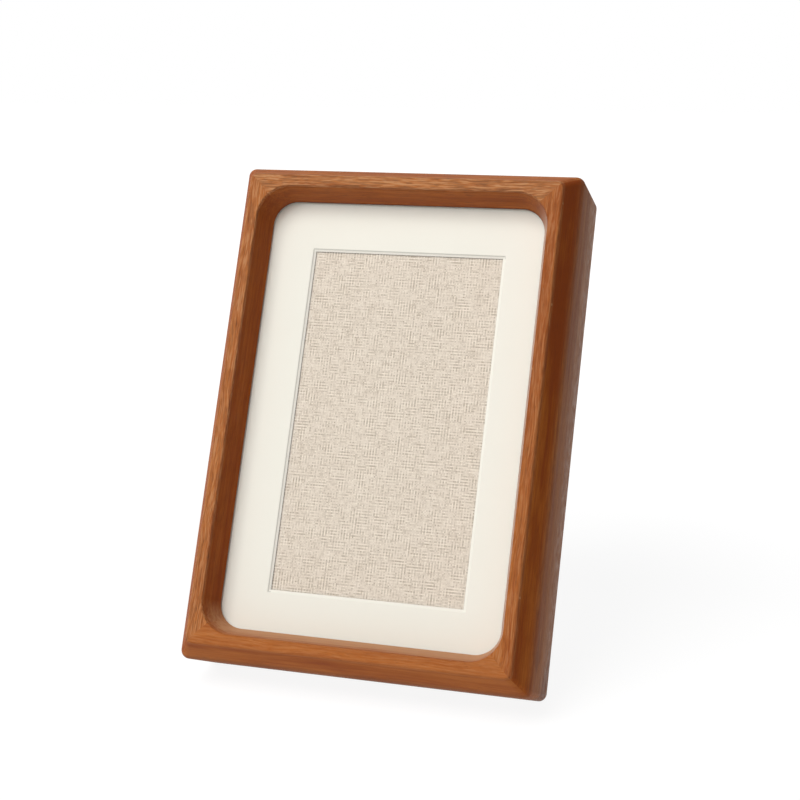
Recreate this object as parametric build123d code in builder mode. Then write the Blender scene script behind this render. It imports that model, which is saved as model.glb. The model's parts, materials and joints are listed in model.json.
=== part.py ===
from build123d import *
import os
from math import atan2, cos, degrees, radians, sin, tan

# Easel back photo frame for a 10 by 15 cm picture, in millimetres, standing at its lean.
# The front looks to -Y, X runs to the right as seen from the front, Z is up from the table.
# Frame measures: across (X), up (along the leaning face) and depth (from the front face backwards).

# Picture format and how it sits in the rails
photo_width = 102.0
photo_height = 152.0
rabbet_play = 1.5
sight_overlap = 4.8

# Section of the rails and stiles
wall_flare = 2.8
face_width = 3.5
bevel_width = 5.0
bevel_depth = 9.5
lip_depth = 9.8
frame_depth = 35.0
opening_radius = 8.0
outer_corner_radius = 2.6
shoulder_radius = 6.0
arris_round = 1.0
sight_bevel = 0.2
back_round = 1.0

# Stance
lean = 24.0
strut_opening = 32.0

# Layers between the lip and the back
glazing_thickness = 1.0
mat_thickness = 1.0
mat_bevel_angle = 45.0
window_width = 65.6
window_height = 114.5
linen_thickness = 0.5
card_thickness = 2.0
spacer_width = 6.0
backing_thickness = 3.0
backing_play = 0.4

# Corner wedges across the mitres
wedge_leg = 3.2
wedge_thickness = 0.5
wedge_depth = 10.0
wedge_inset = 1.5

# Turn buttons and their screws
button_radius = 2.0
button_reach = 12.0
button_thickness = 0.8
button_height = 48.0
button_gap = 0.2
button_hole_clearance = 0.08
screw_radius = 1.0
screw_length = 9.0
screw_head_radius = 1.75
screw_head_height = 1.4
screw_head_bevel = 0.6
screw_slot_width = 0.5
screw_slot_depth = 0.7
screw_slot_share = 0.62

# Hinge of the strut
hinge_up = 30.0
hinge_width = 26.0
leaf_thickness = 0.8
fixed_leaf_length = 15.0
moving_leaf_length = 17.0
leaf_corner_radius = 2.5
ear_radius = 2.4
pin_radius = 1.0
pin_clearance = 0.05
pin_head_radius = 1.5
pin_head_height = 0.6
knuckle_gap = 0.2
knuckle_side_gap = 0.3
tongue_width = 9.0
stop_gap = 0.1

# Rivets of the leaves
rivet_radius = 1.2
rivet_clearance = 0.05
rivet_head_radius = 2.2
rivet_head_height = 0.9
rivet_head_bevel = 0.7
rivet_head_crown = 0.5
rivet_clinch_radius = 1.9
rivet_clinch_height = 0.5
fixed_rivet_up = 9.5
moving_rivet_down = 11.5
rivet_spacing = 13.0

# Strut
strut_thickness = 3.0
strut_top_gap = 3.0
strut_top_width = 29.0
strut_foot_width = 46.0
strut_corner_radius = 3.0

# How far a cutting tool runs past a face
overrun = 1.0

# Sizes that follow
opening_width = photo_width - 2 * sight_overlap
opening_height = photo_height - 2 * sight_overlap
rabbet_width = photo_width + 2 * rabbet_play
rabbet_height = photo_height + 2 * rabbet_play
margin = wall_flare + face_width + bevel_width
outer_width = opening_width + 2 * margin
outer_height = opening_height + 2 * margin
flare_angle = degrees(atan2(wall_flare, lip_depth))
mat_depth = lip_depth + glazing_thickness
linen_depth = mat_depth + mat_thickness
card_depth = linen_depth + linen_thickness
spacer_depth = card_depth + card_thickness
backing_depth = frame_depth - backing_thickness
spacer_height = backing_depth - spacer_depth
pivot_across = (outer_width + rabbet_width) / 4
knuckle_bore = pin_radius + pin_clearance
knuckle_radius = knuckle_bore + leaf_thickness
hinge_standoff = leaf_thickness + knuckle_gap + knuckle_radius
knuckle_length = hinge_width - 2 * (leaf_thickness + knuckle_side_gap)
strut_lean = lean - strut_opening


def reach_back(up, depth):
    """Distance towards +Y of a point of the leaning frame from the middle of its front face."""
    return up * sin(radians(lean)) + depth * cos(radians(lean))


def reach_up(up, depth):
    """Height of a point of the leaning frame over the middle of its front face."""
    return up * cos(radians(lean)) - depth * sin(radians(lean))


def leaning(origin, angle):
    """Plane that looks to the front and leans back from upright by the angle, with its local y up."""
    tilt = radians(angle)
    return Plane(origin=origin, x_dir=(1, 0, 0), z_dir=(0, -cos(tilt), sin(tilt)))


# The rounded back edge of the bottom rail and the strut's foot stand on the table, at zero height.
# The middle of the whole depth is the origin's place in Y.
edge_up = outer_height / 2 - back_round
edge_depth = frame_depth - back_round
front_height = back_round - reach_up(-edge_up, edge_depth)
hinge_depth = frame_depth + hinge_standoff
hinge_height = front_height + reach_up(hinge_up, hinge_depth)
foot_length = hinge_height / cos(radians(strut_lean))
arris_turn = radians(90) - atan2(bevel_width, bevel_depth)
arris_up = outer_height / 2 - bevel_width - arris_round * tan(arris_turn / 2)
front_reach = reach_back(-arris_up, arris_round) - arris_round
rail_reach = reach_back(edge_up, edge_depth) + back_round
foot_reach = reach_back(hinge_up, hinge_depth) - foot_length * sin(radians(strut_lean)) + strut_thickness
front_place = -(front_reach + max(rail_reach, foot_reach)) / 2

front = leaning((0, front_place, front_height), lean)
back = Plane(
    origin=front.from_local_coords((0, 0, -frame_depth)), x_dir=-front.x_dir, z_dir=-front.z_dir
)
hinge_point = front.from_local_coords((0, hinge_up, -hinge_depth))
strut_plane = leaning(hinge_point, strut_lean)
facing = Axis(front.origin, front.z_dir)
across_front = Axis(front.origin, front.x_dir)
up_front = Axis(front.origin, front.y_dir)


def layer(depth, slip=0, drop=rabbet_play):
    """Plane of a sheet that rests on the rabbet's floor, looking to the front."""
    return Plane(
        origin=front.from_local_coords((slip, -drop, -depth)), x_dir=front.x_dir, z_dir=front.z_dir
    )


def spot(plane, across, up):
    """The same plane with its origin moved to a place on it."""
    return Plane(
        origin=plane.from_local_coords((across, up, 0)), x_dir=plane.x_dir, z_dir=plane.z_dir
    )


def edge_on(plane, across):
    """Plane square to X: its local x runs up the given plane and its local y to the front."""
    return Plane(
        origin=plane.from_local_coords((across, 0, 0)), x_dir=plane.y_dir, z_dir=plane.x_dir
    )


def blank_section(plane, span):
    """Section of the frame blank across one span: face, bevels, soft shoulders and straight sides."""
    half = span / 2
    with BuildSketch(plane) as section:
        with BuildLine():
            Polyline(
                (-half, -frame_depth),
                (-half, -bevel_depth),
                (bevel_width - half, 0),
                (half - bevel_width, 0),
                (half, -bevel_depth),
                (half, -frame_depth),
                close=True,
            )
        make_face()
        fillet(section.vertices().group_by(Axis.Y)[1], radius=shoulder_radius)
    return section.sketch


def save(piece, name):
    """Label a finished piece and write its file."""
    piece.label = name
    export_step(piece, f"parts/{name}.step")


os.makedirs("parts", exist_ok=True)

# Places of the turn buttons on the back: name, then across and up on the back plane
button_places = {
    "left_upper": (pivot_across, button_height),
    "left_lower": (pivot_across, -button_height),
    "right_upper": (-pivot_across, button_height),
    "right_lower": (-pivot_across, -button_height),
}
screw_spots = [spot(back, across, up) for across, up in button_places.values()]

# Corner wedges: an L of thin steel across each mitre, driven in flush with the back
wedge_across = outer_width / 2 - wedge_inset
wedge_up = outer_height / 2 - wedge_inset
with BuildPart() as corner_wedges:
    with BuildSketch(back):
        with BuildLine():
            Polyline(
                (wedge_across, wedge_up),
                (wedge_across - wedge_leg, wedge_up),
                (wedge_across - wedge_leg, wedge_up - wedge_thickness),
                (wedge_across - wedge_thickness, wedge_up - wedge_thickness),
                (wedge_across - wedge_thickness, wedge_up - wedge_leg),
                (wedge_across, wedge_up - wedge_leg),
                close=True,
            )
        make_face()
        mirror(about=Plane.YZ)
        mirror(about=Plane.XZ)
    extrude(amount=-wedge_depth)
save(corner_wedges.part, "corner_wedges")

# Blank of the four members: two sections crossed, so that the bevels meet in mitre lines, which are
# rounded from the back up to the face, then the soft arrises, the flared opening and the rabbet
with BuildPart() as blank:
    extrude(blank_section(edge_on(front, 0), outer_height), amount=outer_width / 2, both=True)
    across_plane = Plane(origin=front.origin, x_dir=front.x_dir, z_dir=-front.y_dir)
    extrude(
        blank_section(across_plane, outer_width), amount=outer_height / 2, both=True, mode=Mode.INTERSECT
    )
    straight_edges = blank.edges().filter_by(across_front) + blank.edges().filter_by(up_front)
    fillet(blank.edges() - straight_edges, radius=outer_corner_radius)
    fillet(blank.faces().sort_by(facing)[0].edges(), radius=back_round)
    fillet(blank.faces().sort_by(facing)[-1].edges(), radius=arris_round)
    with BuildSketch(front.offset(-lip_depth)):
        RectangleRounded(opening_width, opening_height, opening_radius)
    extrude(amount=lip_depth, taper=-flare_angle, mode=Mode.SUBTRACT)
    chamfer(blank.faces().sort_by(facing)[-1].inner_wires()[0].edges(), length=sight_bevel)
    with BuildSketch(front.offset(-lip_depth)):
        Rectangle(rabbet_width, rabbet_height)
    extrude(amount=lip_depth - frame_depth - overrun, mode=Mode.SUBTRACT)

# The members: each is cut from the blank along the mitre lines through its two outer corners
members = {
    "top_rail": (front.y_dir, front.x_dir),
    "right_stile": (front.x_dir, front.y_dir),
    "bottom_rail": (-front.y_dir, front.x_dir),
    "left_stile": (-front.x_dir, front.y_dir),
}
for name, (outward, along) in members.items():
    with BuildPart() as member:
        add(blank.part)
        for end in (1, -1):
            toward = outward + along * end
            corner = front.from_local_coords(
                (
                    toward.dot(front.x_dir) * outer_width / 2,
                    toward.dot(front.y_dir) * outer_height / 2,
                    0,
                )
            )
            split(bisect_by=Plane(origin=corner, z_dir=outward - along * end), keep=Keep.TOP)
        add(corner_wedges.part, mode=Mode.SUBTRACT)
        if name.endswith("stile"):
            with Locations(*screw_spots):
                Hole(radius=screw_radius, depth=screw_length)
    save(member.part, name)

# Glazing
with BuildPart() as glazing:
    with BuildSketch(layer(lip_depth)):
        Rectangle(photo_width, photo_height)
    extrude(amount=-glazing_thickness)
save(glazing.part, "glazing")

# Mat board, slipped to the right as far as the rabbet lets it: the window's edge is cut at a slant
with BuildPart() as mat_board:
    with BuildSketch(layer(mat_depth, rabbet_play)):
        Rectangle(photo_width, photo_height)
    extrude(amount=-mat_thickness)
    mat_bevel = mat_thickness * tan(radians(mat_bevel_angle))
    with BuildSketch(layer(linen_depth, rabbet_play)):
        Rectangle(window_width - 2 * mat_bevel, window_height - 2 * mat_bevel)
    extrude(amount=mat_thickness, taper=-mat_bevel_angle, mode=Mode.SUBTRACT)
save(mat_board.part, "mat_board")

# Linen and the card that carries it
with BuildPart() as linen_facing:
    with BuildSketch(layer(linen_depth)):
        Rectangle(photo_width, photo_height)
    extrude(amount=-linen_thickness)
save(linen_facing.part, "linen_facing")

with BuildPart() as display_card:
    with BuildSketch(layer(card_depth)):
        Rectangle(photo_width, photo_height)
    extrude(amount=-card_thickness)
save(display_card.part, "display_card")

# Spacer strips round the rabbet, from the card to the backing board: long ones at the sides,
# short ones between them
strip_across = (photo_width - spacer_width) / 2
strip_up = (photo_height - spacer_width) / 2
short_strip = photo_width - 2 * spacer_width
spacers = {
    "spacer_left": (-strip_across, 0, spacer_width, photo_height),
    "spacer_right": (strip_across, 0, spacer_width, photo_height),
    "spacer_top": (0, strip_up, short_strip, spacer_width),
    "spacer_bottom": (0, -strip_up, short_strip, spacer_width),
}
for name, (across, up, width, height) in spacers.items():
    with BuildPart() as spacer:
        with BuildSketch(layer(spacer_depth)):
            with Locations((across, up)):
                Rectangle(width, height)
        extrude(amount=-spacer_height)
    save(spacer.part, name)

# Backing board, with the holes for the rivets of the hinge
fixed_rivets = [spot(back, side * rivet_spacing / 2, hinge_up + fixed_rivet_up) for side in (-1, 1)]
with BuildPart() as backing_board:
    with BuildSketch(layer(backing_depth, drop=backing_play)):
        Rectangle(rabbet_width - 2 * backing_play, rabbet_height - 2 * backing_play)
    extrude(amount=-backing_thickness)
    with Locations(*fixed_rivets):
        Hole(radius=rivet_radius + rivet_clearance, depth=backing_thickness)
save(backing_board.part, "backing_board")

# Turn buttons: stamped blades that reach from a stile over the backing board
for name, (across, up) in button_places.items():
    inward = -1 if across > 0 else 1
    with BuildPart() as turn_button:
        with BuildSketch(back.offset(button_gap)):
            with Locations((across + inward * button_reach / 2, up)):
                SlotCenterToCenter(button_reach, 2 * button_radius)
            with Locations((across, up)):
                Circle(screw_radius + button_hole_clearance, mode=Mode.SUBTRACT)
        extrude(amount=button_thickness)
    save(turn_button.part, f"turn_button_{name}")

# Screws of the turn buttons: pan heads with a cross recess
head_seat = 2 * button_gap + button_thickness
with BuildPart() as turn_button_screws:
    with Locations(*screw_spots):
        Cylinder(screw_radius, screw_length, align=(Align.CENTER, Align.CENTER, Align.MAX))
        Cylinder(screw_radius, head_seat, align=(Align.CENTER, Align.CENTER, Align.MIN))
    head_seats = [place.offset(head_seat) for place in screw_spots]
    with Locations(*head_seats):
        Cylinder(
            screw_head_radius, screw_head_height, align=(Align.CENTER, Align.CENTER, Align.MIN)
        )
    head_rims = turn_button_screws.faces().sort_by(facing)[: len(screw_spots)].edges()
    chamfer(head_rims, length=screw_head_bevel)
    recess = 2 * screw_head_radius * screw_slot_share
    head_tops = [place.offset(screw_head_height) for place in head_seats]
    with Locations(*head_tops):
        for length, width in ((recess, screw_slot_width), (screw_slot_width, recess)):
            Box(
                length,
                width,
                screw_slot_depth,
                align=(Align.CENTER, Align.CENTER, Align.MAX),
                mode=Mode.SUBTRACT,
            )
save(turn_button_screws.part, "turn_button_screws")

# Fixed leaf of the hinge: a plate on the backing board with two ears that hold the pin
hinge_plane = leaning(hinge_point, lean)
fixed_seats = [place.offset(leaf_thickness) for place in fixed_rivets]
with BuildPart() as hinge_fixed_leaf:
    with BuildSketch(back) as plate:
        with Locations((0, hinge_up + (fixed_leaf_length - ear_radius) / 2)):
            Rectangle(hinge_width, fixed_leaf_length + ear_radius)
        fillet(plate.vertices().group_by(Axis.Y)[-1], radius=leaf_corner_radius)
    extrude(amount=leaf_thickness)
    for side in (-1, 1):
        with BuildSketch(edge_on(hinge_plane, side * (hinge_width - leaf_thickness) / 2)):
            Circle(ear_radius)
            with Locations((0, hinge_standoff / 2)):
                Rectangle(2 * ear_radius, hinge_standoff)
            Circle(knuckle_bore, mode=Mode.SUBTRACT)
        extrude(amount=leaf_thickness / 2, both=True)
    with Locations(*fixed_seats):
        Hole(radius=rivet_radius + rivet_clearance, depth=leaf_thickness)
save(hinge_fixed_leaf.part, "hinge_fixed_leaf")

# Hinge pin, headed over at both ends
with BuildPart() as hinge_pin:
    with BuildSketch(edge_on(hinge_plane, 0)):
        Circle(pin_radius)
    extrude(amount=hinge_width / 2, both=True)
    for side in (-1, 1):
        with BuildSketch(edge_on(hinge_plane, side * hinge_width / 2)):
            Circle(pin_head_radius)
        extrude(amount=side * pin_head_height)
save(hinge_pin.part, "hinge_pin")

# Moving leaf: its knuckle turns on the pin, and the tongue above it meets the fixed leaf
# when the strut is fully open, which stops the strut
opening = radians(strut_opening)
tongue_drop = hinge_standoff - leaf_thickness - stop_gap
tongue_length = (tongue_drop + knuckle_bore * cos(opening)) / sin(opening)
leaf_place = -(knuckle_bore + leaf_thickness / 2)
leaf_back = Plane(
    origin=strut_plane.from_local_coords((0, 0, -knuckle_radius)),
    x_dir=-strut_plane.x_dir,
    z_dir=-strut_plane.z_dir,
)
moving_seats = [spot(leaf_back, side * rivet_spacing / 2, -moving_rivet_down) for side in (-1, 1)]
across_strut = Axis(strut_plane.origin, strut_plane.z_dir)
along_strut = Axis(strut_plane.origin, strut_plane.y_dir)
with BuildPart() as hinge_moving_leaf:
    with BuildSketch(edge_on(strut_plane, 0)):
        Circle(knuckle_radius)
        with Locations((-moving_leaf_length / 2, leaf_place)):
            Rectangle(moving_leaf_length, leaf_thickness)
        Circle(knuckle_bore, mode=Mode.SUBTRACT)
    extrude(amount=knuckle_length / 2, both=True)
    with BuildSketch(edge_on(strut_plane, 0)):
        with Locations((tongue_length / 2, leaf_place)):
            Rectangle(tongue_length, leaf_thickness)
    extrude(amount=tongue_width / 2, both=True)
    leaf_corners = hinge_moving_leaf.edges().filter_by(across_strut).group_by(along_strut)[0]
    fillet(leaf_corners, radius=leaf_corner_radius)
    with Locations(*moving_seats):
        Hole(radius=rivet_radius + rivet_clearance, depth=leaf_thickness)
save(hinge_moving_leaf.part, "hinge_moving_leaf")

# Strut: a tapered board behind the moving leaf, with its foot cut level with the table
foot_run = foot_length + strut_thickness
with BuildPart() as strut:
    with BuildSketch(strut_plane.offset(-knuckle_bore)):
        with BuildLine():
            Polyline(
                (-strut_top_width / 2, -strut_top_gap),
                (-strut_foot_width / 2, -foot_run),
                (strut_foot_width / 2, -foot_run),
                (strut_top_width / 2, -strut_top_gap),
                close=True,
            )
        make_face()
    extrude(amount=strut_thickness)
    split(bisect_by=Plane.XY, keep=Keep.TOP)
    foot_edges = strut.faces().sort_by(Axis.Z)[0].edges().sort_by(Axis.X)
    fillet((foot_edges[0], foot_edges[-1]), radius=strut_corner_radius)
    top_corners = strut.edges().filter_by(across_strut).group_by(along_strut)[-1]
    fillet(top_corners, radius=strut_corner_radius)
    with Locations(*moving_seats):
        Hole(radius=rivet_radius + rivet_clearance, depth=leaf_thickness + strut_thickness)
save(strut.part, "strut")

# Rivets: a domed head on the leaf, a shank through leaf and board, and a clinched end
rivet_sets = {
    "fixed_leaf_rivets": (fixed_seats, leaf_thickness + backing_thickness),
    "moving_leaf_rivets": (moving_seats, leaf_thickness + strut_thickness),
}
for name, (seats, grip) in rivet_sets.items():
    with BuildPart() as rivets:
        with Locations(*seats):
            Cylinder(
                rivet_head_radius, rivet_head_height, align=(Align.CENTER, Align.CENTER, Align.MIN)
            )
        heads = rivets.faces().sort_by(Axis(seats[0].origin, seats[0].z_dir))[-len(seats) :]
        chamfer(heads.edges(), length=rivet_head_crown, length2=rivet_head_bevel)
        with Locations(*seats):
            Cylinder(rivet_radius, grip, align=(Align.CENTER, Align.CENTER, Align.MAX))
        with Locations(*[seat.offset(-grip) for seat in seats]):
            Cylinder(
                rivet_clinch_radius, rivet_clinch_height, align=(Align.CENTER, Align.CENTER, Align.MAX)
            )
    save(rivets.part, name)
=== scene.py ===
"""Looks of an easel back photo frame: oiled wood, cream mat, linen, board, glass and plated steel."""

import json
from math import atan2, cos, radians, sin
from types import SimpleNamespace

import bmesh
import bpy
import numpy as np
from bpy.props import FloatProperty, FloatVectorProperty, PointerProperty
from bpy.types import Operator, Panel, PropertyGroup
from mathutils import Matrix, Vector


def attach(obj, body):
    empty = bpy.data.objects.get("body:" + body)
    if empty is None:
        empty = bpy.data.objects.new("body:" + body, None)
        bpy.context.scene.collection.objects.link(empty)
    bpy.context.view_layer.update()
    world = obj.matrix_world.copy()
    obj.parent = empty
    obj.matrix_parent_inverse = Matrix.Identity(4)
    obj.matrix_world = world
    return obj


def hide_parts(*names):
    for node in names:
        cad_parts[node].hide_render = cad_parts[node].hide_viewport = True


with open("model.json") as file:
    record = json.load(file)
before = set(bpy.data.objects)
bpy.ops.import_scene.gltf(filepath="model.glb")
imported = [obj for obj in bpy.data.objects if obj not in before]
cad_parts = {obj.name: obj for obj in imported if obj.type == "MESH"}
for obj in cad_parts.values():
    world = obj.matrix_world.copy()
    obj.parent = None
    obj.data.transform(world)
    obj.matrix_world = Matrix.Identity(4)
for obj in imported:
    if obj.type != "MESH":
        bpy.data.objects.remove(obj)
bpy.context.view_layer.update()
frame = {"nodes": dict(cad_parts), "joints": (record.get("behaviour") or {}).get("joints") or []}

bl_info = {
    "name": "Easel Back Photo Frame",
    "version": (1, 0, 0),
    "blender": (4, 5, 0),
    "location": "3D View > Sidebar > Photo Frame",
    "description": "Gives the photo frame its wood, mat, linen, glass and steel, and sets its stage",
    "category": "Object",
}

MM = 0.001
# Members of the frame: whether the grain runs up them, strength of its figure, paler or darker board
# The last also sets how much each bevel is painted paler as if lit: hardly at all on the shaded right one
MEMBERS = {
    "top_rail": (False, 1.4, 0.0),
    "right_stile": (True, 0.6, -0.06),
    "bottom_rail": (False, 0.25, 0.01),
    "left_stile": (True, 0.9, -0.02),
}
# Millimetres along the grain from one member's board to the next
BOARD_STEP = 137.0
BUTTONS = ["left_upper", "left_lower", "right_upper", "right_lower"]
SPACERS = ["left", "right", "top", "bottom"]
# Ways the fibres of the boards lie
FIBRE_TURNS = [radians(20), radians(80), radians(140)]
# Waves of noise from one thread of the linen to the next, so that neighbours differ
THREAD_STEP = 7.31
# Sockets of a Mix node that mixes colours
MIX_FACTOR = 0
MIX_FIRST = 6
MIX_SECOND = 7
MIX_COLOUR = 2
# Points nearer than this are one point
SAME_POINT = 0.001 * MM
FLOOR_COLOUR = (0.9, 0.9, 0.9, 1.0)
FLAG_COLOUR = (0.02, 0.02, 0.02, 1.0)
WHITE = (1.0, 1.0, 1.0, 1.0)


# Places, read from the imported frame

def points(node):
    """Corner points of a node's mesh at rest, one row each, in metres."""
    mesh = frame["nodes"][node].data
    flat = np.empty(len(mesh.vertices) * 3)
    mesh.vertices.foreach_get("co", flat)
    return flat.reshape(-1, 3)


class LeaningAxes:
    """Axes of a leaning board: across it, up it and out of it, from an origin on its surface."""

    def __init__(self, origin, out):
        self.origin = np.array(origin, float)
        self.out = np.array(out, float)
        self.across = np.array((1.0, 0.0, 0.0))
        self.up = np.cross(self.out, self.across)
        self.turn = atan2(self.up[2], self.up[1])

    def local(self, world):
        """Places of world points along the three axes, in metres."""
        return (world - self.origin) @ np.stack([self.across, self.up, self.out], axis=1)

    def world(self, local):
        """World places of points given along the three axes."""
        return self.origin + local @ np.stack([self.across, self.up, self.out])

    def box(self, node):
        """Lowest and highest place of a node along the three axes."""
        places = self.local(points(node))
        return places.min(axis=0), places.max(axis=0)


def face_axes():
    """Axes of the frame's front, with the origin in the middle of the front face."""
    swivel = next(joint for joint in frame["joints"] if joint["name"].startswith("swivel"))
    axes = LeaningAxes((0, 0, 0), [-part for part in swivel["axis"]])
    members = axes.local(np.concatenate([points(node) for node in MEMBERS]))
    low = members.min(axis=0)
    high = members.max(axis=0)
    axes.origin = axes.world(np.array(((low[0] + high[0]) / 2, (low[1] + high[1]) / 2, high[2])))
    return axes, (high - low)[:2] / 2


def strut_axes():
    """Axes of the strut, with the origin at its hinge.

    Out is the way its broad face looks to the front.
    """
    hinge = next(joint for joint in frame["joints"] if joint["name"] == "strut_fold")
    broad = max(frame["nodes"]["strut"].data.polygons, key=lambda polygon: polygon.area).normal
    return LeaningAxes(hinge["pos_m"], broad if broad.y < 0 else -broad)


FACE, HALF = face_axes()
STRUT = strut_axes()


# Materials

class Field:
    """A shader value in Python sums: each sum adds one Math node to the recipe it belongs to."""

    def __init__(self, recipe, socket):
        self.recipe = recipe
        self.socket = socket

    def maths(self, operation, *values):
        sockets = dict(enumerate(values))
        return self.recipe.node("ShaderNodeMath", {"operation": operation}, sockets)

    def __add__(self, other):
        return self.maths("ADD", self, other)

    def __radd__(self, other):
        return self.maths("ADD", other, self)

    def __sub__(self, other):
        return self.maths("SUBTRACT", self, other)

    def __rsub__(self, other):
        return self.maths("SUBTRACT", other, self)

    def __mul__(self, other):
        return self.maths("MULTIPLY", self, other)

    def __rmul__(self, other):
        return self.maths("MULTIPLY", other, self)

    def __truediv__(self, other):
        return self.maths("DIVIDE", self, other)

    def __rtruediv__(self, other):
        return self.maths("DIVIDE", other, self)

    def __pow__(self, other):
        return self.maths("POWER", self, other)

    def __abs__(self):
        return self.maths("ABSOLUTE", self)

    def floor(self):
        return self.maths("FLOOR", self)

    def wrap(self, span):
        return self.maths("FLOORED_MODULO", self, span)

    def least(self, other):
        return self.maths("MINIMUM", self, other)

    def most(self, other):
        return self.maths("MAXIMUM", self, other)

    def step(self, start, end):
        """Smooth step from 0 at start to 1 at end."""
        settings = {"interpolation_type": "SMOOTHSTEP"}
        sockets = {"Value": self, "From Min": start, "From Max": end}
        return self.recipe.node("ShaderNodeMapRange", settings, sockets)


class Recipe:
    """A node tree filled by Python calls."""

    def __init__(self, owner):
        owner.use_nodes = True
        self.owner = owner
        self.tree = owner.node_tree
        self.tree.nodes.clear()

    def node(self, kind, settings=None, sockets=None, output=0):
        """Add a node: its settings come first, then the values or links of its sockets."""
        made = self.tree.nodes.new(kind)
        for name, value in (settings or {}).items():
            if name == "stops":
                made.color_ramp.elements[0].position, made.color_ramp.elements[0].color = value[0]
                made.color_ramp.elements[1].position, made.color_ramp.elements[1].color = value[-1]
                for position, colour in value[1:-1]:
                    made.color_ramp.elements.new(position).color = colour
            else:
                setattr(made, name, value)
        for key, value in (sockets or {}).items():
            if isinstance(value, Field):
                self.tree.links.new(value.socket, made.inputs[key])
            else:
                made.inputs[key].default_value = value
        return Field(self, made.outputs[output])

    def vector(self, x, y, z=0.0):
        return self.node("ShaderNodeCombineXYZ", None, {"X": x, "Y": y, "Z": z})

    def places(self, axes):
        """Places across, up and out of a leaning board, in millimetres."""
        coordinates = self.node("ShaderNodeTexCoord", output="Object")
        sockets = {
            "Vector": coordinates,
            "Location": axes.origin,
            "Rotation": (axes.turn, 0, 0),
            "Scale": (MM, MM, MM),
        }
        turned_back = self.node("ShaderNodeMapping", {"vector_type": "TEXTURE"}, sockets)
        split = self.node("ShaderNodeSeparateXYZ", None, {"Vector": turned_back}).socket.node
        return [Field(self, output) for output in split.outputs]

    def noise(self, x, y, z=0.0, detail=2.0, roughness=0.5):
        """Cloudy noise about 0.5, one wave to a unit."""
        sockets = {
            "Vector": self.vector(x, y, z), "Scale": 1.0, "Detail": detail, "Roughness": roughness,
        }
        return self.node("ShaderNodeTexNoise", None, sockets)

    def cells(self, x, y, z=0.0):
        """Distance to the nearest of scattered points, about one to a unit."""
        sockets = {"Vector": self.vector(x, y, z), "Scale": 1.0}
        return self.node("ShaderNodeTexVoronoi", None, sockets, output="Distance")

    def ramp(self, value, *stops):
        """Colour that runs through the stops, each a position and a colour."""
        solid = [(position, (*colour, 1.0)) for position, colour in stops]
        return self.node("ShaderNodeValToRGB", {"stops": solid}, {"Fac": value})

    def mix(self, first, second, factor):
        """Colour between two colours: the first at factor 0, the second at factor 1."""
        solid = [c if isinstance(c, Field) else (*c, 1.0) for c in (first, second)]
        sockets = {MIX_FACTOR: factor, MIX_FIRST: solid[0], MIX_SECOND: solid[1]}
        return self.node("ShaderNodeMix", {"data_type": "RGBA"}, sockets, output=MIX_COLOUR)

    def bump(self, height, distance, strength=1.0):
        """Normal of a surface that stands up by the height, in millimetres, times the distance."""
        sockets = {"Height": height, "Distance": distance * MM, "Strength": strength}
        return self.node("ShaderNodeBump", None, sockets, output="Normal")

    def rays(self, *kinds):
        """1 for rays of any of these kinds, else 0."""
        path = self.node("ShaderNodeLightPath").socket.node
        first, *others = [Field(self, path.outputs[kind]) for kind in kinds]
        for other in others:
            first = first.most(other)
        return first

    def finish(self, shader, target="ShaderNodeOutputMaterial"):
        """Put the shader on the output, and give back what the node tree belongs to."""
        out = self.tree.nodes.new(target)
        self.tree.links.new(shader.socket, out.inputs["Surface"])
        return self.owner

    def principled(self, sockets):
        """Finish with a Principled shader that has these sockets."""
        return self.finish(self.node("ShaderNodeBsdfPrincipled", None, sockets))

    def blended(self, first, second, factor):
        """Finish with a shader between two: the first at factor 0, the second at factor 1."""
        sockets = {0: factor, 1: first, 2: second}
        return self.finish(self.node("ShaderNodeMixShader", None, sockets))


def material(name):
    return Recipe(bpy.data.materials.new(name))


def rounded_rectangle(x, y, half_width, half_height, radius):
    """Distance outwards from the line of a rectangle with round corners, and the way outwards.

    With q the place in one quarter less the corner's middle, the distance is the length of q's positive
    part, plus the larger of q's two parts where that is negative, less the radius. The way outwards is
    q's positive part made one long: it has a share across and a share up.
    """
    across = abs(x) - (half_width - radius)
    up = abs(y) - (half_height - radius)
    length = (across.most(0.0) ** 2.0 + up.most(0.0) ** 2.0) ** 0.5
    distance = length + across.most(up).least(0.0) - radius
    length = length.most(0.01)
    return distance, across.most(0.0) / length, up.most(0.0) / length


def wood_grain(recipe, along, over, deep):
    """Layers of the grain: noise drawn out along the member, which sways a little from side to side."""
    sway = (recipe.noise(along * 0.02, over * 0.06, deep * 0.06) - 0.5) * 6.0
    over = over + sway
    deep = deep + sway * 0.6
    return SimpleNamespace(
        blotches=recipe.noise(along * 0.035, over * 0.1, deep * 0.1, detail=3.0) - 0.5,
        bands=recipe.noise(along * 0.011, over * 0.3, deep * 0.3, detail=3.0),
        lines=recipe.noise(along * 0.025, over * 0.85, deep * 0.85, detail=3.0, roughness=0.6),
        streaks=recipe.noise(along * 0.05, over * 1.7, deep * 1.7, detail=3.0, roughness=0.6),
        dashes=recipe.noise(along * 0.15, over * 2.3, deep * 2.3, roughness=0.6),
        flecks=recipe.noise(along * 0.28, over * 2.2, deep * 2.2, roughness=0.6),
        fibres=recipe.noise(along * 0.25, over * 7.0, deep * 7.0),
        pores=recipe.cells(along * 0.4, over * 2.2, deep * 2.2).step(0.26, 0.08),
    )


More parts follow.
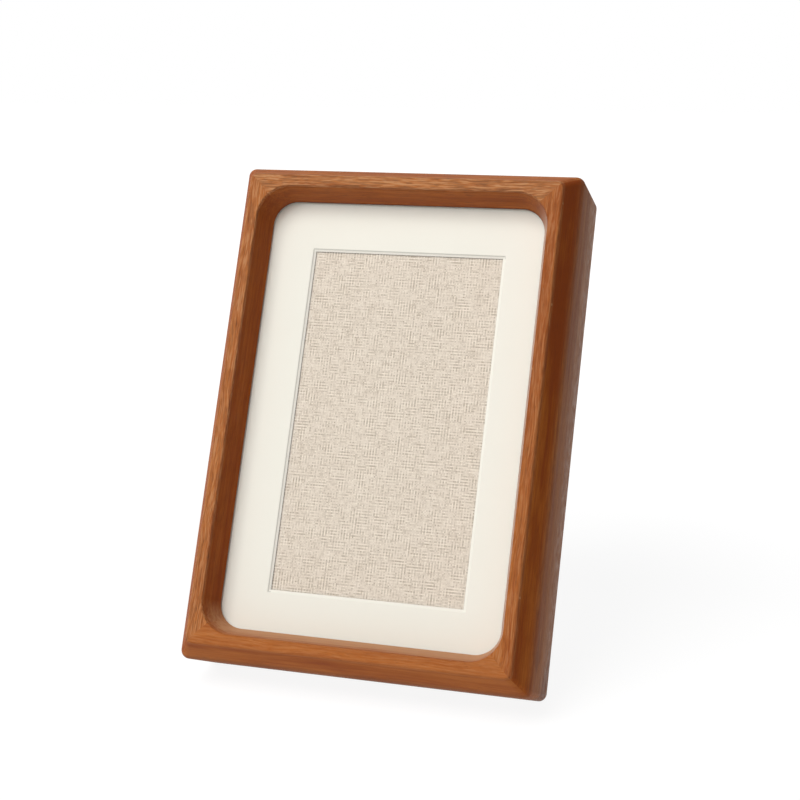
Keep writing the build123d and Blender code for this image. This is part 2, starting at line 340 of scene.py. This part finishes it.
def wood_zones(x, y, z, finish):
    """Shares of the members' surfaces at a place, each 1 on its surface and 0 away from it.

    The wall of the opening is also split by the way it looks: level is its lower part, upright its right
    part and shaded its upper part. Above is the height over the frame's lower edge, along the face.
    """
    half_width, half_height = HALF / MM
    inset = finish.sight_inset / MM
    bevel_line = finish.bevel_width / MM
    outward = (abs(x) - half_width).most(abs(y) - half_height)
    sight, across_share, up_share = rounded_rectangle(
        x, y, half_width - inset, half_height - inset, finish.sight_radius / MM
    )
    face = z.step(-1.8, -0.1)
    flank = outward.step(-1.8, -0.1)
    wall = sight.step(-0.1, -0.6)
    lower = y.step(1.0, -1.0)
    right = x.step(-1.0, 1.0)
    return SimpleNamespace(
        face=face,
        flank=flank,
        bevel=outward.step(-bevel_line - 0.5, -bevel_line + 0.5) * (1.0 - flank) * (1.0 - face),
        arris=abs(outward + bevel_line).step(1.2, 0.3).most(abs(sight).step(0.6, 0.1)),
        wall=wall,
        level=wall * up_share * lower,
        upright=wall * across_share ** 4.0 * right,
        shaded=wall * up_share * (1.0 - lower),
        above=y + half_height,
    )


def frame_wood(name, seed, member, finish):
    """Oiled reddish wood: bands, lines and short dashes along the member, under a rubbed, paler face.

    The bevels keep the deep colour of the oil, and the walls of the opening are mixed darker, partly as
    painted shade in the recess. The bevels are rubbed paler, partly as painted light: the upper and lower
    ones most, the shaded right one hardly. The lower and right walls are painted paler as a reflection of
    the bright mat, all walls are a little dusty, and a painted shadow runs where the upper wall meets the
    glass. The sides are painted paler, most towards the back, as sheen, and the right wall and the back
    of the sides are waxed. The arrises have a few pale nicks, and painted shade darkens the frame's foot
    and, in patches, the lower part of its sides.
    """
    lengthwise, figure, pale = member
    recipe = material(name)
    x, y, z = recipe.places(FACE)
    along, over = (y, x) if lengthwise else (x, y)
    grain = wood_grain(recipe, along + seed, over, z)
    zone = wood_zones(x, y, z, finish)
    pale_flecks = grain.flecks.step(0.46, 0.62)
    lip = finish.lip_depth / MM

    # Painted sheen: the lower and right walls are paled as a reflection of the bright mat; the walls are
    # also a little dusty
    dust_and_sheen = zone.level * (0.15 + 0.6 * grain.lines.step(0.3, 0.7) + 0.7 * z.step(-1.0, -7.0))
    dust_and_sheen = dust_and_sheen + zone.upright * 0.3 + zone.shaded * 0.15
    wax = zone.flank * (0.03 + 0.5 * pale_flecks) * z.step(-16.0, -34.0)
    wax = wax + zone.upright * 0.8 + zone.level * 0.08
    nicks = zone.arris * recipe.cells(x * 0.2, y * 0.2, z * 0.2).step(0.12, 0.06) * z.step(-1.6, -0.8)
    # Painted shadow: a dark line on the upper wall where it meets the glass
    painted_glass_shadow = zone.shaded * z.step(0.7 - lip, 0.2 - lip)
    # Painted shade: the frame's lower edge and, in patches, the lower part of its sides are darkened
    patches = recipe.noise(x * 0.09, y * 0.05, z * 0.09 + seed, detail=3.0).step(0.5, 0.62)
    painted_foot_shade = zone.flank * zone.above.step(28.0, 4.0) * patches * 0.5
    painted_foot_shade = painted_foot_shade.most(zone.above.step(1.4, 0.2) * 0.5)

    tone = grain.bands * 0.45 + grain.lines * 0.25 + grain.streaks * 0.2 + grain.fibres * 0.1 - 0.5
    tone = 0.5 + tone * (0.7 + 0.6 * figure) + pale
    tone = tone + grain.blotches * (zone.bevel + zone.flank) * 0.6
    colour = recipe.ramp(
        tone, (0.38, finish.wood_dark), (0.5, finish.wood_middle), (0.62, finish.wood_light)
    )
    # Painted shade: the walls of the opening are mixed towards the dark wood, partly a deeper stain and
    # partly the shade of the recess
    colour = recipe.mix(colour, finish.wood_dark, zone.wall * 0.3)
    marks = (grain.dashes.step(0.48, 0.64) * 0.7 + grain.flecks.step(0.44, 0.32) * 0.6) * figure
    marks = (marks + grain.pores * 0.35) * (0.4 + (zone.face + zone.flank) * 0.6)
    colour = recipe.mix(colour, finish.wood_pore_and_shade, marks)

    rubbed_face = (0.24 + 0.14 * figure + pale) * (
        0.6 + 0.5 * grain.streaks.step(0.35, 0.65) + 0.3 * pale_flecks
    )
    rubbed_face = rubbed_face + grain.dashes.step(0.5, 0.36) * 0.5 * figure
    # Rub and painted light: the bevels are paled by member, most at the top and bottom, hardly on the
    # shaded right
    bevel_rub_and_light = (0.11 + 1.8 * pale) * (grain.lines + grain.bands)
    # Painted sheen: the sides are paled, more towards the back, as the sheen of the light at a grazing
    # angle
    painted_flank_sheen = (0.26 + 0.26 * z.step(-10.0, -28.0)) * (
        grain.lines * 1.1 + grain.bands * 0.7 + pale_flecks * 0.35
    )
    # Rubbed joins the real rub of the face and bevels with the painted sheen of the sides
    rubbed = zone.face * rubbed_face + zone.bevel * bevel_rub_and_light + zone.flank * painted_flank_sheen
    colour = recipe.mix(colour, finish.wood_rubbed_and_sheen, rubbed.most(dust_and_sheen).most(nicks * 0.8))
    # The pore colour also paints the shadow at the glass and the shade at the frame's foot
    sockets = {
        "Base Color": recipe.mix(colour, finish.wood_pore_and_shade, painted_glass_shadow.most(painted_foot_shade) * 0.8),
        "Roughness": 0.56 + grain.streaks * 0.14 + grain.pores * 0.2 - zone.wall * 0.1,
        "Specular IOR Level": 0.14,
        "Coat Weight": wax,
        "Coat Roughness": 0.3,
        "Normal": recipe.bump(grain.fibres * 0.4 + grain.dashes * 0.6 - grain.pores, 0.05, 0.5),
    }
    return recipe.principled(sockets)


def clear_pane(finish):
    """Clear glass that lets the lamp's light and the soft light straight through to the mat."""
    recipe = material("clear_glass")
    sockets = {
        "Base Color": (*finish.glass, 1.0),
        "Roughness": 0.02,
        "IOR": 1.47,
        "Transmission Weight": 1.0,
    }
    glass = recipe.node("ShaderNodeBsdfPrincipled", None, sockets)
    open_way = recipe.node("ShaderNodeBsdfTransparent")
    return recipe.blended(glass, open_way, recipe.rays("Is Shadow Ray", "Is Diffuse Ray"))


def mat_paper(finish, corner, front, lifted):
    """Cream facing paper with a faint tooth over a paler core, which shows in the window's bevel.

    Corner is the window's upper left corner, front the place of the facing and lifted that of the back,
    all in millimetres. The back is dark, as painted shade in the crevice under the bevel's foot, and a
    painted shade line greys the brow of the bevel on the left and at the top.
    """
    recipe = material("cream_mat")
    x, y, z = recipe.places(FACE)
    tooth = recipe.noise(x * 5.0, y * 5.0, z * 5.0, detail=3.0)
    cloud = recipe.noise(x * 0.06, y * 0.06)
    facing = recipe.mix(finish.mat, finish.mat_shade, tooth * 0.5 + cloud * 0.3)
    core = z.step(front - 0.2, front - 0.3)
    # Painted shade: a grey line on the brow of the bevel, on the left and at the top only
    edge = z.step(front - 0.01, front - 0.06) - core
    edge = edge * x.step(corner[0] + 0.2, corner[0]).most(y.step(corner[1] - 0.2, corner[1]))
    # Painted shade: the mat's back is made dark, so the crevice under the bevel's foot reads as a shadow
    # line
    under = z.step(lifted + 0.02, lifted)
    colour = recipe.mix(facing, finish.mat_core, core)
    sockets = {
        "Base Color": recipe.mix(colour, finish.mat_back_shade, under.most(edge * 0.35)),
        "Roughness": 0.78 + tooth * 0.15,
        "Normal": recipe.bump(tooth, 0.03, 0.4),
    }
    return recipe.principled(sockets)


def woven_linen(finish):
    """Plain weave of fine threads, each with its own thick and thin, pale and dark stretches.

    A thread is numbered by the whole part of its place over the pitch. Where the two numbers add up to
    an even sum the warp lies on top, else the weft. In places every second thread is darker, and each
    crossing differs a little from the next. The third place of each noise only picks a slice of it.
    """
    recipe = material("linen_cloth")
    x, y = recipe.places(FACE)[:2]
    pitch = finish.thread_pitch / MM
    u = x / pitch
    v = y / pitch
    warp_number = u.floor()
    weft_number = v.floor()
    over = (warp_number + weft_number).wrap(2.0)
    round_warp = 1.0 - abs(u.wrap(1.0) * 2.0 - 1.0) ** 3.0
    round_weft = 1.0 - abs(v.wrap(1.0) * 2.0 - 1.0) ** 3.0
    height = round_warp + (round_weft - round_warp) * over
    warp = recipe.noise(warp_number * THREAD_STEP, y * 0.3, 3.0, detail=1.0) - 0.5
    weft = recipe.noise(x * 0.3, weft_number * THREAD_STEP, 9.0, detail=1.0) - 0.5
    second_warp = (recipe.noise(x * 0.25, y * 0.12, 21.0) - 0.5) * (warp_number.wrap(2.0) - 0.5)
    second_weft = (recipe.noise(x * 0.12, y * 0.25, 33.0) - 0.5) * (weft_number.wrap(2.0) - 0.5)
    warp = warp + second_warp * 3.2
    weft = weft + second_weft * 3.2
    knots = recipe.noise(warp_number * THREAD_STEP, weft_number * THREAD_STEP, 15.0) - 0.5
    slub = 0.5 + warp + (weft - warp) * over + knots * 0.8
    colour = recipe.ramp(
        slub, (0.15, finish.linen_dark), (0.5, finish.linen), (0.85, finish.linen_light)
    )
    # Painted shade: the gaps between the threads are darkened
    colour = recipe.mix(colour, finish.linen_dark, (1.0 - height) * 0.15)
    sockets = {
        "Base Color": colour,
        "Roughness": 0.9,
        "Sheen Weight": 0.15,
        "Normal": recipe.bump(height * 0.5 + slub, 0.1, 0.6),
    }
    return recipe.principled(sockets)


def fibreboard(name, axes, base, speck):
    """Pressed board: short fibres matted three ways, darker specks and a slow cloud."""
    recipe = material(name)
    x, y, z = recipe.places(axes)
    cloud = recipe.noise(x * 0.04, y * 0.04, z * 0.04, detail=3.0)
    matted = []
    for turn in FIBRE_TURNS:
        along = x * cos(turn) + y * sin(turn)
        over = y * cos(turn) - x * sin(turn)
        layer = z * 2.6 + 40.0 * turn
        matted.append(recipe.noise(along * 0.4, over * 2.6, layer, detail=3.0, roughness=0.6))
    fibres = matted[0].most(matted[1]).most(matted[2]).step(0.54, 0.76)
    dots = recipe.cells(x * 0.55, y * 0.55, z * 0.55).step(0.2, 0.08)
    dark = fibres * 0.5 + dots * 0.35 + cloud.step(0.3, 0.7) * 0.35
    sockets = {
        "Base Color": recipe.mix(base, speck, dark),
        "Roughness": 0.6 + fibres * 0.25,
        "Normal": recipe.bump(fibres + dots, 0.05, 0.6),
    }
    return recipe.principled(sockets)


def plated_steel(name, axes, finish, roughness):
    """Zinc plated steel: fine rolling lines up the sheet, faint spangle and rubbed spots."""
    recipe = material(name)
    x, y, z = recipe.places(axes)
    lines = recipe.noise(x * 9.0, y * 0.25, z * 9.0, detail=3.0)
    spangle = recipe.noise(x * 0.7, y * 0.7, z * 0.7, detail=2.0)
    colour = recipe.mix(finish.steel, finish.steel_dark, lines * 0.35 + spangle.step(0.4, 0.7) * 0.3)
    sockets = {
        "Base Color": colour,
        "Metallic": 1.0,
        "Roughness": roughness + lines * 0.12 + spangle * 0.1,
        "Normal": recipe.bump(lines, 0.01, 0.4),
    }
    return recipe.principled(sockets)


# Meshes

def grid_faces(rows, columns):
    """Quads between neighbouring rows and columns of a grid of points, as whole arrays."""
    corner = (np.arange(rows - 1)[:, None] * columns + np.arange(columns - 1)[None, :]).ravel()
    return np.stack([corner, corner + 1, corner + columns + 1, corner + columns], axis=1)


def new_piece(name, places, faces, made_of, smooth=True):
    """A new object at the origin with these world points and quads; doubles at seams are merged."""
    mesh = bpy.data.meshes.new(name)
    mesh.from_pydata(places.tolist(), [], faces.tolist())
    work = bmesh.new()
    work.from_mesh(mesh)
    bmesh.ops.remove_doubles(work, verts=work.verts, dist=SAME_POINT)
    bmesh.ops.recalc_face_normals(work, faces=work.faces)
    work.to_mesh(mesh)
    work.free()
    if smooth:
        mesh.shade_smooth()
    mesh.materials.append(made_of)
    piece = bpy.data.objects.new(name, mesh)
    bpy.context.scene.collection.objects.link(piece)
    return piece


def turned(profile, centre, axes, steps=32):
    """Points of a profile turned about an axis out of a board.

    Each row of the profile is a radius and a place out of the board, and each column of points is the
    profile at one angle: across by the radius times its cosine, up by the radius times its sine.
    """
    angle = np.linspace(0.0, 2 * np.pi, steps + 1)
    places = np.empty((len(profile), len(angle), 3))
    places[..., 0] = centre[0] + profile[:, :1] * np.cos(angle)
    places[..., 1] = centre[1] + profile[:, :1] * np.sin(angle)
    places[..., 2] = profile[:, 1:]
    return axes.world(places.reshape(-1, 3)), grid_faces(len(profile), len(angle))


def paint(node, made_of):
    """Give a node of the frame its material."""
    slots = frame["nodes"][node].data.materials
    slots.clear()
    slots.append(made_of)


# Settings

def colour_property(name, description, default):
    return FloatVectorProperty(
        name=name, description=description, default=default, subtype="COLOR", min=0.0, max=1.0
    )


def length_property(name, description, default):
    return FloatProperty(name=name, description=description, default=default, unit="LENGTH")


def angle_property(name, description, degrees):
    return FloatProperty(
        name=name, description=description, default=radians(degrees), subtype="ANGLE"
    )


def plain_property(name, description, default, unit="NONE"):
    return FloatProperty(name=name, description=description, default=default, unit=unit)


class FrameFinish(PropertyGroup):
    """Colours and small sizes of the frame's surfaces."""

    wood_dark: colour_property("Wood dark", "Darkest bands of the wood", (0.285, 0.051, 0.002))
    wood_middle: colour_property("Wood middle", "Ground colour of the wood", (0.365, 0.086, 0.006))
    wood_light: colour_property("Wood light", "Palest bands of the wood", (0.45, 0.124, 0.014))
    # Also the colour of the painted shadow at the glass and of the painted shade at the frame's foot
    wood_pore_and_shade: colour_property("Wood pores", "Short dark dashes in the grain", (0.11, 0.024, 0.005))
    # Also the colour of the painted sheen on the walls and sides and of the painted light on the bevels
    wood_rubbed_and_sheen: colour_property("Wood rubbed", "Dry wood of the face and arrises", (0.5, 0.238, 0.106))
    bevel_width: length_property(
        "Bevel", "From the side of the frame to the arris of its face", 5.0 * MM
    )
    sight_inset: length_property(
        "Sight edge", "From the side of the frame to the opening in its face", 8.5 * MM
    )
    sight_radius: length_property(
        "Sight radius", "Round corners of the opening in the face", 10.8 * MM
    )
    lip_depth: length_property("Lip", "From the face to the glass", 9.8 * MM)
    glass: colour_property("Glass", "Tint of the pane", (0.985, 0.995, 0.99))
    mat: colour_property("Mat", "Facing paper of the mat", (0.91, 0.885, 0.795))
    mat_shade: colour_property("Mat shade", "Hollows of the facing paper", (0.87, 0.83, 0.73))
    glass_gap: length_property("Glass gap", "From the glass to the mat", 0.05 * MM)
    mat_lift: length_property("Mat lift", "From the linen to the cut edge of the mat", 0.36 * MM)
    mat_core: colour_property("Mat core", "Core of the mat, seen in the bevel", (0.91, 0.87, 0.78))
    # Also painted shade: this dark back shows as the shadow in the crevice under the bevel and in the
    # brow line
    mat_back_shade: colour_property("Mat back", "Grey pulp of the mat's back", (0.16, 0.145, 0.12))
    linen: colour_property("Linen", "Ground colour of the threads", (0.76, 0.655, 0.54))
    linen_dark: colour_property("Linen dark", "Darkest threads and the gaps", (0.49, 0.39, 0.29))
    linen_light: colour_property("Linen light", "Palest threads", (0.9, 0.8, 0.68))
    thread_pitch: length_property(
        "Thread pitch", "From one thread of the linen to the next", 0.475 * MM
    )
    board: colour_property("Board", "Backing board and strut", (0.36, 0.215, 0.115))
    board_speck: colour_property("Board specks", "Fibres of the board", (0.17, 0.085, 0.04))
    card: colour_property("Card", "Grey card behind the linen", (0.34, 0.33, 0.31))
    card_speck: colour_property("Card specks", "Fibres of the card", (0.22, 0.21, 0.2))
    pine: colour_property("Spacer", "Raw strips round the rabbet", (0.62, 0.43, 0.25))
    pine_speck: colour_property("Spacer grain", "Grain of the strips", (0.45, 0.28, 0.14))
    steel: colour_property("Steel", "Plating of the hinge, buttons and screws", (0.62, 0.61, 0.58))
    steel_dark: colour_property("Steel dark", "Dull spots of the plating", (0.4, 0.39, 0.37))


class StageSettings(PropertyGroup):
    """Camera, lamps and floor."""

    azimuth: angle_property("Azimuth", "Camera's turn to the right of the front", 17.18)
    elevation: angle_property("Elevation", "Camera's angle over the horizon", 12.61)
    distance: length_property("Distance", "From the camera to the front face", 511.0 * MM)
    aim_across: length_property(
        "Aim across", "Where the camera aims, right of the face's middle", 8.14 * MM
    )
    aim_up: length_property("Aim up", "Where the camera aims, above the face's middle", 4.47 * MM)
    lens: plain_property("Lens", "Focal length in millimetres on a 36 mm sensor", 73.39)
    key_power: plain_property("Key", "Power of the key lamp", 55.0, "POWER")
    key_size: length_property("Key size", "Side of the key lamp", 1.5)
    key_distance: length_property("Key distance", "From the key lamp to the frame", 2.5)
    key_azimuth: angle_property("Key azimuth", "Key lamp's turn from the front", -26)
    key_elevation: angle_property("Key elevation", "Key lamp's angle over the horizon", 48)
    ambient: plain_property("Ambient", "Soft light from all round", 0.22)
    floor_size: length_property("Floor size", "Side of the floor", 8.0)
    floor_shade: plain_property(
        "Floor shade", "Share of the floor's look that takes the shadow", 0.18
    )
    floor_glow: plain_property("Floor glow", "Brightness of the bare floor", 1.1)
    shadow_reach: length_property("Shadow reach", "How far out the floor takes the shadow", 0.45)
    flag_distance: length_property("Flag distance", "From the middle to the dark card", 0.35)
    flag_front: length_property("Flag front", "How far the dark card reaches to the front", 0.25)
    flag_back: length_property("Flag back", "How far the dark card reaches to the back", 0.12)
    flag_height: length_property("Flag height", "Height of the dark card", 0.5)


def finish_of(context):
    return context.scene.photo_frame_finish


# Operators

class DressMembers(Operator):
    """Wood on the two rails and the two stiles, each cut from its own board"""

    bl_idname = "photo_frame.members"
    bl_label = "Rails and stiles"

    def execute(self, context):
        for count, (node, member) in enumerate(MEMBERS.items()):
            seed = BOARD_STEP * (count + 1)
            paint(node, frame_wood(f"{node}_wood", seed, member, finish_of(context)))
        return {"FINISHED"}


class DressGlazing(Operator):
    """Clear pane in front of the mat"""

    bl_idname = "photo_frame.glazing"
    bl_label = "Glazing"

    def execute(self, context):
        paint("glazing", clear_pane(finish_of(context)))
        return {"FINISHED"}


class DressMat(Operator):
    """Cream mat with a bevelled window"""

    bl_idname = "photo_frame.mat"
    bl_label = "Mat"

    def board(self, finish):
        """Section of the board carried round the window, with mitred corners.

        Each point of the section is a half width, a half height and a place out of the face: the foot of
        the bevel, its brow, the outer edge at the front and at the back, and the hollow under the foot,
        which the knife has lifted a little. Each gives one rectangle of corners, and the rectangles are
        joined in a closed ring. The cuts are the window's upper left corner and the places of the facing
        and of the lifted foot.
        """
        low, high = FACE.box("mat_board")
        middle = (low + high) / 2
        half = (high - low) / 2
        corners = abs(FACE.local(points("mat_board")) - middle)
        # All but the points on the outer edge
        window = corners[corners[:, 0] < half[0] - finish.mat_lift]
        foot = window.min(axis=0)[:2]
        brow = window.max(axis=0)[:2]
        hollow = brow + finish.mat_lift
        back = low[2]
        lifted = back + finish.mat_lift
        front = high[2] - finish.glass_gap
        section = [
            (*foot, lifted), (*brow, front), (*half[:2], front), (*half[:2], back), (*hollow, back),
            (*hollow, lifted),
        ]
        section = np.array([*section, section[0]])
        side = np.array([(-1, -1), (1, -1), (1, 1), (-1, 1), (-1, -1)])
        places = np.empty((len(section), len(side), 3))
        places[..., :2] = middle[:2] + section[:, None, :2] * side[None, :, :]
        places[..., 2] = section[:, None, 2]
        cuts = (middle[:2] + foot * (-1, 1), front, lifted)
        return places.reshape(-1, 3), grid_faces(len(section), len(side)), cuts

    def execute(self, context):
        finish = finish_of(context)
        places, faces, cuts = self.board(finish)
        paper = mat_paper(finish, *[cut / MM for cut in cuts])
        piece = new_piece("mat_window", FACE.world(places), faces, paper, False)
        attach(piece, "frame")
        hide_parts("mat_board")
        return {"FINISHED"}


class DressLinen(Operator):
    """Sheet of linen laid on its card"""

    bl_idname = "photo_frame.linen"
    bl_label = "Linen"

    rows = 120
    columns = 80
    slub = 0.02 * MM
    wave_across = 3.1 * MM
    wave_up = 2.7 * MM
    wander = 7.3 * MM

    def sheet(self):
        """Front of the cloth, its thickness and its size.

        The front lies below its highest place by slub times one plus a wave: the sine across, which
        wanders with the height, times the sine up.
        """
        low, high = FACE.box("linen_facing")
        across = np.linspace(low[0], high[0], self.columns)
        up = np.linspace(low[1], high[1], self.rows)
        x, y = np.meshgrid(across, up)
        wave = np.sin(x / self.wave_across + 2 * np.sin(y / self.wander)) * np.sin(y / self.wave_up)
        front = np.stack([x, y, high[2] - self.slub * (1 + wave)], axis=-1)
        return front.reshape(-1, 3), high[2] - low[2], (high - low)[:2]

    def execute(self, context):
        places, thickness, flat = self.sheet()
        faces = grid_faces(self.rows, self.columns)
        cloth = woven_linen(finish_of(context))
        piece = new_piece("linen_sheet", FACE.world(places), faces, cloth)
        solid = piece.modifiers.new("thickness", "SOLIDIFY")
        solid.thickness = thickness - 2 * self.slub
        solid.offset = -1.0
        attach(piece, "frame")
        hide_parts("linen_facing")
        return {"FINISHED"}


class DressBoards(Operator):
    """Backing board, strut, card and spacer strips"""

    bl_idname = "photo_frame.boards"
    bl_label = "Boards"

    def execute(self, context):
        finish = finish_of(context)
        paint("backing_board", fibreboard("backing_fibreboard", FACE, finish.board, finish.board_speck))
        paint("strut", fibreboard("strut_fibreboard", STRUT, finish.board, finish.board_speck))
        paint("display_card", fibreboard("grey_card", FACE, finish.card, finish.card_speck))
        strips = fibreboard("spacer_wood", FACE, finish.pine, finish.pine_speck)
        for side in SPACERS:
            paint(f"spacer_{side}", strips)
        return {"FINISHED"}


class DressHinge(Operator):
    """Plated hinge, its pin and its rivets"""

    bl_idname = "photo_frame.hinge"
    bl_label = "Hinge"

    near = 0.02 * MM
    rounds = 9
    crease = radians(40)

    def execute(self, context):
        finish = finish_of(context)
        fixed = plated_steel("hinge_steel", FACE, finish, roughness=0.28)
        moving = plated_steel("leaf_steel", STRUT, finish, roughness=0.28)
        paint("hinge_fixed_leaf", fixed)
        paint("hinge_pin", plated_steel("pin_steel", FACE, finish, roughness=0.22))
        paint("hinge_moving_leaf", moving)
        self.rivets("fixed_leaf_rivets", "frame", FACE, fixed)
        self.rivets("moving_leaf_rivets", "easel_strut", STRUT, moving)
        return {"FINISHED"}

    def rivets(self, node, body, axes, made_of):
        """Domed rivets in place of the node's plain ones, with their radii and lengths.

        Each profile is a quarter of an ellipse over the head, then the shank and the clinched end.
        """
        local = axes.local(points(node))
        for name, side in (("left", -1), ("right", 1)):
            one = local[local[:, 0] * side > 0]
            centre = (one.min(axis=0) + one.max(axis=0)) / 2
            radius = np.hypot(one[:, 0] - centre[0], one[:, 1] - centre[1])
            # Places of the rivet's rings out of the board, to a hundredth of a millimetre
            levels = np.unique(one[:, 2].round(5))
            top, seat, clinch, end = levels[[0, -3, -2, -1]]
            ring = radius[abs(one[:, 2] - seat) < self.near]
            head = ring.max()
            shank = ring.min()
            tip = radius[abs(one[:, 2] - end) < self.near].max()
            bend = np.linspace(np.pi / 2, 0.0, self.rounds)
            dome = np.stack([head * np.cos(bend), seat - (seat - top) * np.sin(bend)], axis=1)
            rest = [(shank, seat), (shank, clinch), (tip, clinch), (tip, end), (0.0, end)]
            places, faces = turned(np.concatenate([dome, rest]), centre, axes)
            piece = new_piece(f"{node}_{name}", places, faces, made_of)
            piece.data.set_sharp_from_angle(angle=self.crease)
            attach(piece, body)
            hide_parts(node)


class DressButtons(Operator):
    """Turn buttons, their screws and the wedges of the mitres"""

    bl_idname = "photo_frame.buttons"
    bl_label = "Turn buttons"

    def execute(self, context):
        finish = finish_of(context)
        blade = plated_steel("button_steel", FACE, finish, roughness=0.3)
        for place in BUTTONS:
            paint(f"turn_button_{place}", blade)
        paint("turn_button_screws", plated_steel("screw_steel", FACE, finish, roughness=0.25))
        paint("corner_wedges", plated_steel("wedge_steel", FACE, finish, roughness=0.4))
        return {"FINISHED"}


class BuildStage(Operator):
    """White floor and surroundings, a soft key lamp and the camera"""

    bl_idname = "photo_frame.stage"
    bl_label = "Stage"

    def seen(self, recipe):
        """1 for rays from the camera, from gloss or through glass, else 0."""
        return recipe.rays("Is Camera Ray", "Is Glossy Ray", "Is Transmission Ray")

    def floor(self, stage):
        """Pale floor: where it is seen it glows white, and near the frame part of its look is lit."""
        recipe = material("white_floor")
        lit = recipe.node("ShaderNodeBsdfDiffuse", None, {"Color": FLOOR_COLOUR})
        glow = recipe.node("ShaderNodeEmission", None, {"Strength": stage.floor_glow})
        coordinates = recipe.node("ShaderNodeTexCoord", output="Object")
        reach = recipe.node("ShaderNodeVectorMath", {"operation": "LENGTH"}, {0: coordinates}, "Value")
        shade = reach.step(stage.shadow_reach, stage.shadow_reach / 3) * stage.floor_shade
        white = recipe.blended(lit, glow, self.seen(recipe) * (1.0 - shade))
        span = np.linspace(-stage.floor_size / 2, stage.floor_size / 2, 3)
        x, y = np.meshgrid(span, span)
        places = np.stack([x, y, np.zeros_like(x)], axis=-1).reshape(-1, 3)
        new_piece("floor", places, grid_faces(len(span), len(span)), white)

    def flag(self, stage):
        """Dark card to the right of the frame, hidden from the camera, that keeps light off that side."""
        recipe = material("dark_card")
        dark = recipe.finish(recipe.node("ShaderNodeBsdfDiffuse", None, {"Color": FLAG_COLOUR}))
        y, z = np.meshgrid(
            np.linspace(-stage.flag_front, stage.flag_back, 2), np.linspace(0.0, stage.flag_height, 2)
        )
        places = np.stack([np.full_like(y, stage.flag_distance), y, z], axis=-1).reshape(-1, 3)
        card = new_piece("flag", places, grid_faces(2, 2), dark)
        card.visible_camera = False

    def surroundings(self, context, stage):
        world = bpy.data.worlds.new("white_room")
        context.scene.world = world
        recipe = Recipe(world)
        strength = stage.ambient + self.seen(recipe) * (1.0 - stage.ambient)
        sky = recipe.node("ShaderNodeBackground", None, {"Color": WHITE, "Strength": strength})
        recipe.finish(sky, "ShaderNodeOutputWorld")

    def aimed(self, context, name, data, aim, azimuth, elevation, distance):
        """A lamp or camera that looks at the aim from the given direction and distance."""
        back = Vector((sin(azimuth) * cos(elevation), -cos(azimuth) * cos(elevation), sin(elevation)))
        thing = bpy.data.objects.new(name, data)
        thing.location = aim + back * distance
        thing.rotation_euler = (-back).to_track_quat("-Z", "Y").to_euler()
        context.scene.collection.objects.link(thing)
        return thing

    def execute(self, context):
        stage = context.scene.photo_frame_stage
        self.floor(stage)
        self.flag(stage)
        self.surroundings(context, stage)
        middle = Vector(FACE.origin)
        key = bpy.data.lights.new("key_lamp", "AREA")
        key.energy = stage.key_power
        key.size = stage.key_size
        lamp = self.aimed(
            context, "key_lamp", key, middle, stage.key_azimuth, stage.key_elevation, stage.key_distance
        )
        lamp.visible_glossy = lamp.visible_transmission = False
        lens = bpy.data.cameras.new("camera")
        lens.lens = stage.lens
        aim = Vector(FACE.world(np.array((stage.aim_across, stage.aim_up, 0.0))))
        context.scene.camera = self.aimed(
            context, "camera", lens, aim, stage.azimuth, stage.elevation, stage.distance
        )
        context.scene.view_settings.view_transform = "Standard"
        return {"FINISHED"}


class PhotoFramePanel(Panel):
    """Sidebar panel with the frame's pieces and settings"""

    bl_idname = "VIEW3D_PT_photo_frame"
    bl_label = "Photo Frame"
    bl_space_type = "VIEW_3D"
    bl_region_type = "UI"
    bl_category = "Photo Frame"

    def draw(self, context):
        for operator in OPERATORS:
            self.layout.operator(operator.bl_idname)
        for settings in (context.scene.photo_frame_finish, context.scene.photo_frame_stage):
            for name in settings.__annotations__:
                self.layout.prop(settings, name)


OPERATORS = (
    DressMembers, DressGlazing, DressMat, DressLinen, DressBoards, DressHinge, DressButtons, BuildStage,
)
CLASSES = (FrameFinish, StageSettings, *OPERATORS, PhotoFramePanel)


def register():
    for kind in CLASSES:
        bpy.utils.register_class(kind)
    bpy.types.Scene.photo_frame_finish = PointerProperty(type=FrameFinish)
    bpy.types.Scene.photo_frame_stage = PointerProperty(type=StageSettings)


def unregister():
    del bpy.types.Scene.photo_frame_stage
    del bpy.types.Scene.photo_frame_finish
    for kind in reversed(CLASSES):
        bpy.utils.unregister_class(kind)


def main():
    register()
    for operator in OPERATORS:
        group, name = operator.bl_idname.split(".")
        getattr(getattr(bpy.ops, group), name)()


if __name__ == "__main__":
    main()
